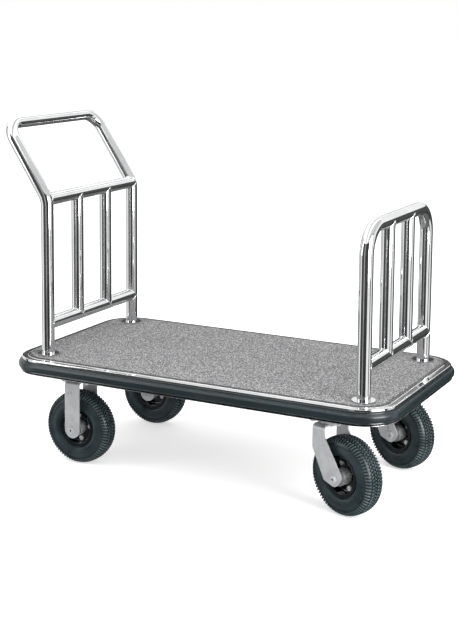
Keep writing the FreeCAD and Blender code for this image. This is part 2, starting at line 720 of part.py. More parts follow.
def valve(name, side, radius):
    """A bar along the valve, which slants between two of the rim bolts."""
    spot = "valve_start * sin(45 deg)"
    bar = bind(doc.addObject("Part::Cylinder", name), Radius=radius, Height="valve_length")
    return place(bar, spot, f"{side} * valve_offset", spot, (Y_AXIS, 45))


def inner_tube(name, side):
    """A thin ring that fills the tyre, with the valve stem through the outer rim half."""
    skins = []
    for skin, inset in (("outer", "tube_gap"), ("inner", "(tube_gap + inner_tube_wall)")):
        half = f"(tyre_half_width - tyre_wall - {inset})"
        top = f"(tyre_radius - tyre_wall - 1 - {inset})"
        corners = mirrored([(f"rim_flange_radius + 1 + {inset}", half, 6),
                            (f"{top} - tyre_shoulder", half, 6),
                            (top, f"{half} - tyre_shoulder", 5)])
        skins.append(wheel_body(f"{name}_{skin}", corners))
    ring = cut(name + "_ring", skins[0], [skins[1]])
    return fuse(name + "_with_valve", [ring, valve(name + "_valve", side, "valve_radius")])


def rim_half(name, side, has_valve):
    wall, cup, end = "rim_wall", "cup_radius", "cup_end"
    seat, flange, half = "bead_radius", "rim_flange_radius", "bead_half_width"
    stop = "(bearing_end - bearing_width)"
    corners = [(f"{cup} + {wall}", end), (f"{cup} + {wall}", wall, 3), (f"{seat} - {wall}", wall, 4),
               (f"{seat} - {wall}", f"{half} + {wall}", 1.5), (flange, f"{half} + {wall}", 0.8),
               (flange, half, 0.8), (seat, half), (seat, 0), (cup, 0),
               (cup, f"{stop} - {wall}"), ("cup_stop_radius", f"{stop} - {wall}"),
               ("cup_stop_radius", stop), (cup, stop), (cup, end)]
    blank = wheel_body(name, [(c[0], f"{side} * ({c[1]})") + tuple(c[2:]) for c in corners])
    holes = [cylinder(f"{name}_bolt_hole_{i}", "rim_bolt_radius + 0.2", "2 * rim_wall + 4",
                      x, "-rim_wall - 2", z, "y") for i, (x, z) in enumerate(rim_bolt_spots())]
    if has_valve:
        holes.append(valve(name + "_valve_hole", side, "valve_radius + 0.4"))
    return cut(name + "_drilled", blank, holes)


def rim_bolt_spots():
    return [(f"rim_bolt_circle * {x}", f"rim_bolt_circle * {z}")
            for x, z in ((1, 0), (0, 1), (-1, 0), (0, -1))]


def bearings(name):
    rings = []
    for label, side in (("inner", -1), ("outer", 1)):
        near, far = "(bearing_end - bearing_width)", "bearing_end"
        bore, rim = "axle_radius + axle_clearance", "cup_radius"
        corners = [(bore, near), (rim, near), (rim, far), (f"{rim} - 4", far),
                   (f"{rim} - 4.5", f"{far} - 1"), (f"{bore} + 4.5", f"{far} - 1"),
                   (f"{bore} + 4", far), (bore, far)]
        rings.append(wheel_body(f"{name}_{label}", [(c[0], f"{side} * ({c[1]})") for c in corners]))
    return fuse(name + "_pair", rings)


def rim_bolts(name):
    bolts = []
    for i, (x, z) in enumerate(rim_bolt_spots()):
        reach = "(rim_wall + rim_bolt_height)"
        shank = cylinder(f"{name}_shank_{i}", "rim_bolt_radius", f"2 * {reach} + 3", x,
                         f"-{reach}", z, "y")
        head = hexagon(f"{name}_head_{i}", "rim_bolt_hex", "rim_bolt_height", x, f"-{reach}", z, "y")
        nut = hexagon(f"{name}_nut_{i}", "rim_bolt_hex", "rim_bolt_height", x, "rim_wall", z, "y")
        bolts.append(fuse(f"{name}_bolt_{i}", [shank, head, nut]))
    return fuse(name + "_group", bolts)


def build_wheel(label, x, y, turn_angle, outward, roll):
    """One pneumatic wheel. It is built about its own Y axis, rolled, then turned to its caster."""
    pieces = {
        "tyre": tyre("tyre_" + label),
        "inner_tube": inner_tube("inner_tube_" + label, outward),
        "rim_outer": rim_half("rim_outer_" + label, outward, True),
        "rim_inner": rim_half("rim_inner_" + label, -outward, False),
        "wheel_bearings": bearings("wheel_bearings_" + label),
        "rim_bolts": rim_bolts("rim_bolts_" + label),
    }
    for node, piece in pieces.items():
        rotation = FreeCAD.Rotation(Z_AXIS, turn_angle) * FreeCAD.Rotation(Y_AXIS, roll)
        piece.Placement = FreeCAD.Placement(Vector(), rotation)
        finish(place(piece, x, y, "axle_height"), f"{node}_{label}")


def build_wheels():
    swivel = value("swivel_angle")
    rolls = {"rear_right": -7, "rear_left": -60, "front_right": -24, "front_left": -40}
    for label, side in caster_sides():
        build_wheel("rear_" + label, f"{DECK_X} - caster_x", f"{side} * rear_caster_y", 0, side,
                    rolls["rear_" + label])
        build_wheel("front_" + label,
                    f"{DECK_X} + caster_x + trail * cos(swivel_angle * 1 deg)",
                    f"{side} * front_caster_y + trail * sin(swivel_angle * 1 deg)",
                    swivel, side, rolls["front_" + label])


# ---------------------------------------------------------------- making and writing
nodes = []


def finish(obj, node):
    """Give a sub-part the label that names its file."""
    obj.Label = node
    nodes.append(obj)
    return obj


def write_parts():
    doc.recompute()
    failed = [o.Name for o in doc.Objects if {"Invalid", "Error"} & set(o.State)]
    if failed:
        raise RuntimeError(f"failed objects: {failed}")
    for obj in nodes:
        if obj.Shape.isNull() or not obj.Shape.isValid() or not obj.Shape.Solids:
            raise RuntimeError(f"bad shape: {obj.Label}")
    for obj in nodes:
        obj.Shape.exportStep(f"parts/{obj.Label}.step")
    box = FreeCAD.BoundBox()
    for obj in nodes:
        box.add(obj.Shape.BoundBox)
    print(len(nodes), "nodes", "x", box.XMin, box.XMax, "y", box.YMin, box.YMax,
          "z", box.ZMin, box.ZMax)


build_deck()
build_frames()
build_post_feet()
build_rear_casters()
build_front_casters()
build_plate_bolts()
build_wheels()
write_parts()
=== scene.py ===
"""A hotel luggage cart: looks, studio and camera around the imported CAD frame. Metres throughout."""
import json
import math

import bmesh
import bpy
from mathutils import Matrix, Vector, noise


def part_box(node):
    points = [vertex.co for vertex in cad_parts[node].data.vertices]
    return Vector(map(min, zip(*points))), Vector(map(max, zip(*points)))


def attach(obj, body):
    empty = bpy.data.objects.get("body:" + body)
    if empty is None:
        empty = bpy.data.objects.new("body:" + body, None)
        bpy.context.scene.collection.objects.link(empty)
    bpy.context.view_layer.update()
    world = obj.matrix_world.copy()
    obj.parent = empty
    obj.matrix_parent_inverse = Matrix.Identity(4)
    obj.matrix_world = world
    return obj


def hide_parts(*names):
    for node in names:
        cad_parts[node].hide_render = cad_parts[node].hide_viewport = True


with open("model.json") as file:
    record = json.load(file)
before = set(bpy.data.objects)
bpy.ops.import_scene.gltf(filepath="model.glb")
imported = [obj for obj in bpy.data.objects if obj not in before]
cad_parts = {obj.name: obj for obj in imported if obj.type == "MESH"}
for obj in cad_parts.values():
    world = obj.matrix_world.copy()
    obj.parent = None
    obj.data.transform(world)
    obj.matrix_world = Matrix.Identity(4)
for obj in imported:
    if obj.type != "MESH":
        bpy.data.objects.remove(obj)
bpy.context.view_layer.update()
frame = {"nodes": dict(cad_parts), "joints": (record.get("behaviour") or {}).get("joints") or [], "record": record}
WHEELS = ("rear_right", "rear_left", "front_right", "front_left")
JOINTS = {joint["name"]: joint for joint in frame["joints"]}
BODY_OF = {node: body for body, nodes in frame["record"]["behaviour"]["bodies"].items()
           for node in nodes}


# ---------------------------------------------------------------- node helpers
def rgb(code):
    """A linear colour from an sRGB hex code."""
    parts = [int(code[i:i + 2], 16) / 255 for i in (1, 3, 5)]
    return tuple(c / 12.92 if c <= 0.04045 else ((c + 0.055) / 1.055) ** 2.4 for c in parts) + (1,)


def grey(shade):
    return (shade, shade, shade, 1)


def add(tree, kind, inputs=None, **settings):
    """A new node. An input is a value, or the socket that it is linked from."""
    made = tree.nodes.new("ShaderNode" + kind)
    for name, setting in settings.items():
        setattr(made, name, setting)
    for name, source in (inputs or {}).items():
        if isinstance(source, bpy.types.NodeSocket):
            tree.links.new(source, made.inputs[name])
        else:
            made.inputs[name].default_value = source
    return made


def new_material(name, **sockets):
    """A material with a Principled shader, whose uniform values are set on its own sockets."""
    material = bpy.data.materials.new(name)
    material.use_nodes = True
    tree = material.node_tree
    shader = tree.nodes["Principled BSDF"]
    for key, setting in sockets.items():
        shader.inputs[key.replace("_", " ")].default_value = setting
    place = add(tree, "TexCoord").outputs["Object"]
    return material, tree, shader, place


def stretched(tree, place, scale):
    return add(tree, "Mapping", {"Vector": place, "Scale": scale}).outputs["Vector"]


def speckle(tree, place, scale, detail=4.0, roughness=0.55):
    return add(tree, "TexNoise", {"Vector": place, "Scale": scale, "Detail": detail,
                                  "Roughness": roughness}).outputs["Fac"]


def ramp(tree, factor, stops):
    """A colour or grey value that follows factor through (position, colour) stops."""
    made = add(tree, "ValToRGB", {"Fac": factor})
    elements = made.color_ramp.elements
    while len(elements) < len(stops):
        elements.new(0.5)
    for element, (position, colour) in zip(elements, stops):
        element.position = position
        element.color = colour if hasattr(colour, "__len__") else grey(colour)
    return made.outputs["Color"]


def mix(tree, factor, first, second, blend="MIX"):
    return add(tree, "MixRGB", {"Fac": factor, "Color1": first, "Color2": second},
               blend_type=blend).outputs["Color"]


def bump(tree, shader, height, distance, strength=1.0):
    made = add(tree, "Bump", {"Height": height, "Distance": distance, "Strength": strength})
    tree.links.new(made.outputs["Normal"], shader.inputs["Normal"])
    return made


def edge_mask(tree, radius):
    """White along outside and inside edges, black on flats and smooth curves."""
    soft = add(tree, "Bevel", {"Radius": radius}, samples=4).outputs["Normal"]
    plain = add(tree, "NewGeometry").outputs["Normal"]
    dot = add(tree, "VectorMath", {0: soft, 1: plain}, operation="DOT_PRODUCT").outputs["Value"]
    return ramp(tree, dot, [(0.90, 1.0), (0.995, 0.0)])


# ---------------------------------------------------------------- materials
def chrome_tube():
    material, tree, shader, place = new_material("chrome_tube", Metallic=1.0)
    clouds = speckle(tree, place, 9)
    scratches = speckle(tree, stretched(tree, place, (500, 500, 30)), 1, 2)
    tree.links.new(ramp(tree, clouds, [(0.35, rgb("#dfe1e2")), (0.7, rgb("#eceded"))]),
                   shader.inputs["Base Color"])
    smudge = ramp(tree, clouds, [(0.4, 0.04), (0.75, 0.08)])
    hairlines = ramp(tree, scratches, [(0.55, 0.0), (0.72, 0.03)])
    tree.links.new(mix(tree, 1.0, smudge, hairlines, "ADD"), shader.inputs["Roughness"])
    bump(tree, shader, scratches, 0.000002, 0.1)
    return material


def bright_trim():
    material, tree, shader, place = new_material("bright_trim", Metallic=1.0)
    clouds = speckle(tree, place, 5)
    rubbed = speckle(tree, place, 60, 5, 0.6)
    tree.links.new(ramp(tree, clouds, [(0.3, rgb("#d0d2d3")), (0.7, rgb("#dcdddd"))]),
                   shader.inputs["Base Color"])
    tree.links.new(ramp(tree, rubbed, [(0.4, 0.07), (0.75, 0.12)]), shader.inputs["Roughness"])
    bump(tree, shader, rubbed, 0.00001, 0.1)
    return material


def zinc_plate():
    material, tree, shader, place = new_material("zinc_plate", Metallic=0.5)
    clouds = speckle(tree, place, 35, 5)
    grain = speckle(tree, stretched(tree, place, (700, 700, 60)), 1, 3)
    body = ramp(tree, clouds, [(0.25, rgb("#adafb1")), (0.5, rgb("#bbbdbf")), (0.8, rgb("#c6c7c7"))])
    # The edges are painted lighter: a painted highlight along them.
    tree.links.new(mix(tree, edge_mask(tree, 0.0015), body, rgb("#dcdddd")),
                   shader.inputs["Base Color"])
    tree.links.new(ramp(tree, clouds, [(0.3, 0.26), (0.7, 0.4)]), shader.inputs["Roughness"])
    bump(tree, shader, grain, 0.00005, 0.35)
    return material


def turned_steel(name, dark, light):
    material, tree, shader, place = new_material(name, Metallic=0.7)
    grain = speckle(tree, place, 260, 3)
    tree.links.new(ramp(tree, grain, [(0.3, dark), (0.7, light)]), shader.inputs["Base Color"])
    tree.links.new(ramp(tree, grain, [(0.3, 0.24), (0.7, 0.36)]), shader.inputs["Roughness"])
    bump(tree, shader, grain, 0.00002, 0.2)
    return material


def black_paint():
    material, tree, shader, place = new_material("black_paint")
    orange_peel = speckle(tree, place, 320, 2)
    dust = speckle(tree, place, 14, 6)
    body = ramp(tree, dust, [(0.45, rgb("#161718")), (0.8, rgb("#2a2b2b"))])
    tree.links.new(mix(tree, edge_mask(tree, 0.001), body, rgb("#4a4b4c")),
                   shader.inputs["Base Color"])
    tree.links.new(ramp(tree, dust, [(0.4, 0.38), (0.8, 0.6)]), shader.inputs["Roughness"])
    bump(tree, shader, orange_peel, 0.00008, 0.3)
    return material


def gloss_enamel():
    material, tree, shader, place = new_material("gloss_enamel", Coat_Weight=0.5,
                                                 Coat_Roughness=0.05)
    orange_peel = speckle(tree, place, 140, 2)
    dust = speckle(tree, place, 30, 6)
    tree.links.new(ramp(tree, dust, [(0.5, rgb("#03090b")), (0.85, rgb("#0b1416"))]),
                   shader.inputs["Base Color"])
    tree.links.new(ramp(tree, dust, [(0.4, 0.1), (0.8, 0.22)]), shader.inputs["Roughness"])
    bump(tree, shader, orange_peel, 0.00008, 0.3)
    return material


def bumper_vinyl():
    material, tree, shader, place = new_material("bumper_vinyl", Specular_IOR_Level=0.6)
    grain = speckle(tree, place, 900, 2)
    scuffs = speckle(tree, stretched(tree, place, (9, 9, 40)), 1, 5, 0.6)
    clouds = speckle(tree, place, 4, 3)
    body = ramp(tree, clouds, [(0.3, rgb("#101b1e")), (0.7, rgb("#172427"))])
    tree.links.new(mix(tree, ramp(tree, scuffs, [(0.6, 0.0), (0.8, 0.3)]), body, rgb("#3a3f41")),
                   shader.inputs["Base Color"])
    tree.links.new(ramp(tree, clouds, [(0.3, 0.26), (0.7, 0.33)]), shader.inputs["Roughness"])
    bump(tree, shader, grain, 0.00002, 0.15)
    return material


def plywood():
    """Dark stained board, whose grain and plies still show."""
    material, tree, shader, place = new_material("plywood")
    rings = add(tree, "TexWave", {"Vector": stretched(tree, place, (1.2, 9, 1)), "Scale": 3.0,
                                  "Distortion": 9.0, "Detail": 4.0, "Detail Scale": 1.6},
                bands_direction="Y").outputs["Fac"]
    pores = speckle(tree, stretched(tree, place, (60, 1400, 1400)), 1, 3)
    plies = add(tree, "TexWave", {"Vector": place, "Scale": 95.0, "Distortion": 0.3},
                bands_direction="Z").outputs["Fac"]
    body = ramp(tree, rings, [(0.0, rgb("#454240")), (0.6, rgb("#524f4c")), (1.0, rgb("#5c5956"))])
    body = mix(tree, ramp(tree, pores, [(0.55, 0.0), (0.7, 0.5)]), body, rgb("#33302e"))
    body = mix(tree, 0.18, body, ramp(tree, plies, [(0.4, rgb("#3c3733")), (0.6, rgb("#6e6963"))]))
    tree.links.new(body, shader.inputs["Base Color"])
    tree.links.new(ramp(tree, pores, [(0.4, 0.5), (0.7, 0.72)]), shader.inputs["Roughness"])
    bump(tree, shader, pores, 0.0001, 0.4)
    return material


def rubber(name, dark, light, shine):
    """Moulded rubber: shiny where it is clean, with pale dust on the rougher spots."""
    material, tree, shader, place = new_material(name, Specular_IOR_Level=0.5)
    grain = speckle(tree, place, 260, 4)
    dust = speckle(tree, place, 24, 6)
    body = ramp(tree, dust, [(0.35, dark), (0.75, light)])
    wear_and_painted_highlight = ramp(tree, grain, [(0.55, 0.0), (0.8, 0.3)])
    tree.links.new(mix(tree, wear_and_painted_highlight, body, light), shader.inputs["Base Color"])
    tree.links.new(ramp(tree, dust, [(0.3, shine), (0.75, shine + 0.22)]),
                   shader.inputs["Roughness"])
    bump(tree, shader, grain, 0.0001, 0.3)
    return material


def carpet_pile(name, light):
    """Heather loop pile: each tuft has its own grey, and the gaps between tufts are painted dark as shade."""
    material, tree, shader, place = new_material(name, Roughness=0.95, Sheen_Weight=0.15,
                                                 Sheen_Roughness=0.6, Specular_IOR_Level=0.1)
    tufts = add(tree, "TexVoronoi", {"Vector": place, "Scale": 400.0}, feature="F1")
    fibres = speckle(tree, place, 900, 3)
    heather = speckle(tree, place, 240, 3)
    patches = speckle(tree, place, 5, 3)
    own = add(tree, "SeparateColor", {"Color": tufts.outputs["Color"]}).outputs["Red"]
    yarn = ramp(tree, own, [(0.1, rgb("#242428")), (0.35, rgb("#5f5f64")),
                            (0.6, rgb("#929194")), (0.9, rgb("#f0efef"))])
    yarn = mix(tree, ramp(tree, heather, [(0.38, 0.9), (0.5, 0.0)]), yarn, rgb("#333337"))
    yarn = mix(tree, ramp(tree, heather, [(0.53, 0.0), (0.64, 0.65)]), yarn, rgb("#e2e1e1"))
    strands = ramp(tree, fibres, [(0.35, rgb("#3c3c40")), (0.65, rgb("#d0cfd0"))])
    yarn = mix(tree, 0.2, yarn, strands)
    # Darker towards each tuft's border: painted shade in the gaps between tufts.
    gap_painted_shade = ramp(tree, tufts.outputs["Distance"], [(0.45, 1.0), (0.8, 0.45)])
    yarn = mix(tree, 1.0, yarn, gap_painted_shade, "MULTIPLY")
    shade = ramp(tree, patches, [(0.3, 0.67 * light), (0.7, 0.76 * light)])
    tree.links.new(mix(tree, 1.0, yarn, shade, "MULTIPLY"), shader.inputs["Base Color"])
    bump(tree, shader, tufts.outputs["Distance"], 0.0015, 0.7).invert = True
    return material


MATERIALS = {
    "polished_tube": chrome_tube(),
    "bright_trim": bright_trim(),
    "dark_vinyl": bumper_vinyl(),
    "grey_carpet": carpet_pile("carpet_pile", 1.0),
    # The same pile at 0.3 of its brightness: a painted shade along the mat's edge.
    "carpet_painted_shade": carpet_pile("carpet_painted_shade", 0.3),
    "plywood": plywood(),
    "black_paint": black_paint(),
    "zinc_plate": zinc_plate(),
    "bearing_steel": turned_steel("bearing_steel", rgb("#a9abad"), rgb("#d0d1d2")),
    # Brighter steel for the rim's nuts: a painted highlight where they sit in shade.
    "nuts_painted_bright": turned_steel("nuts_painted_bright", rgb("#e4e5e6"), rgb("#f6f6f6")),
    "black_gloss_enamel": gloss_enamel(),
    "tyre_rubber": rubber("tyre_rubber", rgb("#152125"), rgb("#263438"), 0.22),
    # Paler rubber for the tops of the tread blocks: a painted highlight.
    "tread_rubber_painted_highlight": rubber("tread_rubber_painted_highlight", rgb("#303b3d"), rgb("#4e5a5c"), 0.2),
    "butyl_rubber": rubber("butyl_rubber", rgb("#17191a"), rgb("#222526"), 0.5),
}


def paint_frame():
    """Give every CAD node the material of its slot in the record. The rim's nuts are painted brighter than their
    slot, as a painted highlight in the rim's shade.
    """
    for part in frame["record"]["subparts"]:
        mesh = frame["nodes"][part["node"]].data
        mesh.materials.clear()
        # The rim's nuts get the brighter steel: a painted highlight.
        bright = part["node"].startswith("rim_bolts")
        mesh.materials.append(MATERIALS["nuts_painted_bright" if bright else part["material_slot"]])


# ---------------------------------------------------------------- mesh helpers
ARC_STEPS = 6


def middle(node):
    """The middle of a CAD node's box."""
    low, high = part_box(node)
    return (low + high) / 2


def fillet(before, spot, after, radius):
    """The arc that rounds a corner: its centre, and the directions from there to its ends."""
    back, ahead = (before - spot).normalized(), (after - spot).normalized()
    half = back.angle(ahead) / 2
    reach = radius / math.tan(half)
    centre = spot + (back + ahead).normalized() * (radius / math.sin(half))
    return (centre, (spot + back * reach - centre).normalized(),
            (spot + ahead * reach - centre).normalized())


def rounded(corners):
    """A closed polyline through corners (a, b) or (a, b, radius), with each radius as an arc."""
    spots = [Vector(corner[:2]) for corner in corners]
    line = []
    for i, (corner, spot) in enumerate(zip(corners, spots)):
        if len(corner) == 2:
            line.append(spot)
            continue
        radius = corner[2]
        centre, start, end = fillet(spots[i - 1], spot, spots[(i + 1) % len(spots)], radius)
        line += [centre + start.slerp(end, k / ARC_STEPS) * radius for k in range(ARC_STEPS + 1)]
    return line


def grid_faces(rows, columns, wrap_rows=False, wrap_columns=False):
    """Quads over a grid of points that is stored row by row."""
    return [(r * columns + c, r * columns + (c + 1) % columns,
             (r + 1) % rows * columns + (c + 1) % columns, (r + 1) % rows * columns + c)
            for r in range(rows if wrap_rows else rows - 1)
            for c in range(columns if wrap_columns else columns - 1)]


def grid_border(rows, columns):
    """The points round the outside of a grid, in order."""
    last = (rows - 1) * columns
    return ([r * columns for r in range(rows)] + [last + c for c in range(1, columns)]
            + [r * columns + columns - 1 for r in range(rows - 2, -1, -1)]
            + list(range(columns - 2, 0, -1)))


def joined(parts):
    """One list of points and one of faces out of several pairs."""
    points, faces = [], []
    for more, more_faces in parts:
        faces += [tuple(len(points) + k for k in face) for face in more_faces]
        points += more
    return points, faces


def turned(line, turns, side=1):
    """A closed line of (radius, across) turned about the Y axis."""
    points = [(r * math.cos(math.tau * i / turns), side * y, r * math.sin(math.tau * i / turns))
              for i in range(turns) for r, y in line]
    return points, grid_faces(turns, len(line), True, True)


def new_piece(name, points, faces, slot, body, matrix=None, sharp=35):
    """A mesh in place, with outward faces, smooth up to the sharp angle, riding on a body."""
    mesh = bpy.data.meshes.new(name)
    mesh.from_pydata([tuple(p) for p in points], [], faces)
    if matrix:
        mesh.transform(matrix)
    work = bmesh.new()
    work.from_mesh(mesh)
    bmesh.ops.recalc_face_normals(work, faces=work.faces)
    work.to_mesh(mesh)
    work.free()
    mesh.shade_smooth()
    mesh.set_sharp_from_angle(angle=math.radians(sharp))
    mesh.materials.append(MATERIALS[slot])
    piece = bpy.data.objects.new(name, mesh)
    bpy.context.scene.collection.objects.link(piece)
    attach(piece, body)
    return piece


# ---------------------------------------------------------------- deck
BOARD_LOW, BOARD_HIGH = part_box("deck_board")
BOARD_CENTRE = (BOARD_LOW + BOARD_HIGH) / 2
BOARD_HALF = (BOARD_HIGH - BOARD_LOW) / 2
BOARD_CORNER = 0.088
CARPET_LOW, CARPET_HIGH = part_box("carpet_mat")
HANDLE_X, HOOP_X = middle("handle_crossbar").x, middle("hoop_lower_rail").x
POST_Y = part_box("handle_crossbar")[1].y
POSTS = [(x, y) for x in (HANDLE_X, HOOP_X) for y in (-POST_Y, POST_Y)]
FLANGE_RADIUS = 0.032

TUFT_HEIGHT, TUFTS_PER_METRE = 0.0007, 330
WAVE_HEIGHT, WAVES_PER_METRE = 0.0003, 22
PRESSED_DEPTH, PRESSED_REACH = 0.0006, 0.006
PILE_SINK = 0.0006              # keeps the highest tufts inside the mat's own thickness
ROLL_DROP, ROLL_WIDTH = 0.0035, 0.006
# How far in from the mat's edge its pile is painted darker as shade, and how much that wanders.
PAINTED_SHADE_WIDTH, PAINTED_SHADE_WANDER = 0.009, 0.005
LENGTH_STEPS, WIDTH_STEPS, TURN_STEPS = 400, 240, 40

CORNER_STEPS = 24


def pile_height(x, y):
    """Looped pile: small tufts on slow waves, pressed flat under each post's flange."""
    tufts = noise.noise(Vector((x, y, 0)) * TUFTS_PER_METRE)
    waves = noise.noise(Vector((x, y, 4)) * WAVES_PER_METRE)
    near = min(math.hypot(x - px, y - py) for px, py in POSTS)
    pressed = PRESSED_DEPTH * max(0, 1 - max(0, near - FLANGE_RADIUS) / PRESSED_REACH)
    return TUFT_HEIGHT * tufts + WAVE_HEIGHT * waves - pressed


def carpet():
    """The mat as a closed slab. Its columns of points follow the rounded outline."""
    centre = (CARPET_HIGH + CARPET_LOW) / 2
    half = (CARPET_HIGH - CARPET_LOW) / 2
    corner = BOARD_CORNER - (BOARD_HALF.x - half.x)
    straight = half.x - corner

    def edge_gap(x, y):
        """The distance in from the mat's rounded outline."""
        past_x, past_y = abs(x) - straight, abs(y) - (half.y - corner)
        if past_x > 0 and past_y > 0:
            return corner - math.hypot(past_x, past_y)
        return min(half.x - abs(x), half.y - abs(y))

    along = [straight * (2 * i / LENGTH_STEPS - 1) for i in range(LENGTH_STEPS + 1)]
    angles = [math.pi / 2 * i / TURN_STEPS for i in range(1, TURN_STEPS + 1)]
    turn = [(straight + corner * math.sin(a), half.y - corner + corner * math.cos(a))
            for a in angles]
    columns = [(-x, reach) for x, reach in reversed(turn)] + [(x, half.y) for x in along] + turn
    across = [2 * i / WIDTH_STEPS - 1 for i in range(WIDTH_STEPS + 1)]
    points = []
    for x, reach in columns:
        for share in across:
            y = reach * share
            roll = ROLL_DROP * max(0, 1 - edge_gap(x, y) / ROLL_WIDTH) ** 2
            px, py = centre.x + x, centre.y + y
            points.append((px, py, CARPET_HIGH.z - PILE_SINK + pile_height(px, py) - roll))
    rows, width = len(columns), len(across)
    faces = grid_faces(rows, width)
    rim = grid_border(rows, width)
    first = len(points)
    points += [(points[i][0], points[i][1], CARPET_LOW.z) for i in rim]
    faces += [(rim[i], rim[(i + 1) % len(rim)], first + (i + 1) % len(rim), first + i)
              for i in range(len(rim))]
    faces.append(tuple(first + i for i in range(len(rim))))
    piece = new_piece("carpet_pile", points, faces, "grey_carpet", "cart", sharp=60)
    # The faces near the edge get the darker pile: a painted shade beside the trim.
    piece.data.materials.append(MATERIALS["carpet_painted_shade"])
    for polygon in piece.data.polygons:
        gap = edge_gap(polygon.center.x - centre.x, polygon.center.y - centre.y)
        if gap + PAINTED_SHADE_WANDER * noise.noise(polygon.center * 130) < PAINTED_SHADE_WIDTH:
            polygon.material_index = 1
    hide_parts("carpet_mat")


def edge_sweep(name, section, slot, replaced, sharp):
    """Sweep a closed section, (out from the board's edge, height), round the deck."""
    line = rounded(section)
    points = []
    for quarter, (sign_x, sign_y) in enumerate(((1, 1), (-1, 1), (-1, -1), (1, -1))):
        centre = Vector((BOARD_CENTRE.x + sign_x * (BOARD_HALF.x - BOARD_CORNER),
                         BOARD_CENTRE.y + sign_y * (BOARD_HALF.y - BOARD_CORNER)))
        for step in range(CORNER_STEPS + 1):
            angle = math.pi / 2 * (quarter + step / CORNER_STEPS)
            outward = Vector((math.cos(angle), math.sin(angle)))
            for out, height in line:
                spot = centre + outward * (BOARD_CORNER + out)
                points.append((spot.x, spot.y, height))
    faces = grid_faces(len(points) // len(line), len(line), True, True)
    piece = new_piece(name, points, faces, slot, "cart", sharp=sharp)
    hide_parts(replaced)


def edge_channel():
    """Bright channel: a bead against the carpet, a flat, an outer bead and a thin lower lip."""
    low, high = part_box("edge_channel")
    top, bottom = high.z, low.z
    edge_sweep("edge_channel_polished", [
        (0, top - 0.004), (-0.0065, top - 0.004), (-0.0065, top, 0.0010), (-0.0042, top, 0.0012),
        (-0.0026, top - 0.0011, 0.0010), (0.0106, top - 0.0011, 0.0006),
        (0.0116, top - 0.0005, 0.0006), (0.0138, top - 0.0010, 0.0014),
        (0.0152, top - 0.0042, 0.0016), (0.0150, top - 0.0080, 0.0006), (0.0020, top - 0.0080),
        (0.0020, bottom + 0.0022), (0.0150, bottom + 0.0022, 0.0010),
        (0.0190, bottom - 0.0002, 0.0008), (0.0184, bottom - 0.0012, 0.0004), (0, bottom - 0.0012)],
        "bright_trim", "edge_channel", sharp=60)


def bumper():
    """Vinyl strip held between the channel's lips: a flat top, a groove and a full bulge."""
    low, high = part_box("bumper_strip")
    reach = high.x - BOARD_HIGH.x
    edge_sweep("bumper_vinyl", [
        (0.0022, low.z), (0.0022, high.z), (0.0150, high.z, 0.0012),
        (0.0166, high.z - 0.0030, 0.0008), (0.0195, high.z - 0.0030, 0.0020),
        (reach, high.z - 0.0100, 0.0070), (reach, low.z + 0.0085, 0.0080),
        (0.0165, low.z + 0.0012, 0.0040), (0.0135, low.z + 0.0004, 0.0005)],
        "dark_vinyl", "bumper_strip", sharp=50)


# ---------------------------------------------------------------- tube frames
TUBE_RADIUS = (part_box("handle_crossbar")[1].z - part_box("handle_crossbar")[0].z) / 2
BAR_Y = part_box("hoop_bar_left")[1].y - TUBE_RADIUS
BEND_STEP = math.radians(3)
KINK_BEND, HANDLE_BEND, HOOP_BEND = 0.070, 0.057, 0.076
WELD_STEPS, WELD_SIDES = 96, 10
WELD_RADIUS, WELD_RIPPLE = 0.0017, 0.0003


def bent_path(spots, radii):
    """Straight runs joined by tangent arcs, in steps of at most BEND_STEP."""
    path = [spots[0]]
    for before, spot, after, radius in zip(spots, spots[1:], spots[2:], radii):
        centre, start, end = fillet(before, spot, after, radius)
        steps = math.ceil(start.angle(end) / BEND_STEP)
        path += [centre + start.slerp(end, k / steps) * radius for k in range(steps + 1)]
    return path + [spots[-1]]


def ring_sweep(path, radius_at, closed=False, sides=64):
    """Points and faces of rings carried along a path without twisting."""
    count = len(path)
    points = []
    normal = None
    for i, spot in enumerate(path):
        before = path[i - 1] if i or closed else spot
        after = path[(i + 1) % count] if i + 1 < count or closed else spot
        ahead = (after - before).normalized()
        if normal is None:
            normal = ahead.orthogonal()
        normal = (normal - ahead * normal.dot(ahead)).normalized()
        across = ahead.cross(normal)
        for k in range(sides):
            angle = math.tau * k / sides
            out = normal * math.cos(angle) + across * math.sin(angle)
            points.append(spot + out * radius_at(i))
    faces = grid_faces(count, sides, closed, True)
    if not closed:
        faces += [tuple(range(sides)), tuple(range((count - 1) * sides, count * sides))]
    return points, faces


def tube(node, spots, radii=()):
    """A round tube along a bent path, standing for its CAD node."""
    path = bent_path(spots, radii)
    points, faces = ring_sweep(path, lambda i: TUBE_RADIUS)
    piece = new_piece(node + "_polished", points, faces, "polished_tube", "cart")
    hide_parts(node)


def weld_path(centre, out, along):
    """The seam of a tube's end on another tube of the same radius.

    out points away from that other tube, and along is the other tube's direction.
    """
    across = out.cross(along)
    path = []
    for k in range(WELD_STEPS):
        angle = math.tau * k / WELD_STEPS
        side = TUBE_RADIUS * math.sin(angle)
        path.append(centre + along * (TUBE_RADIUS * math.cos(angle)) + across * side
                    + out * math.sqrt(max(TUBE_RADIUS ** 2 - side ** 2, 0)))
    return path


def weld_radius(i):
    return WELD_RADIUS + WELD_RIPPLE * math.sin(1.5 * i)


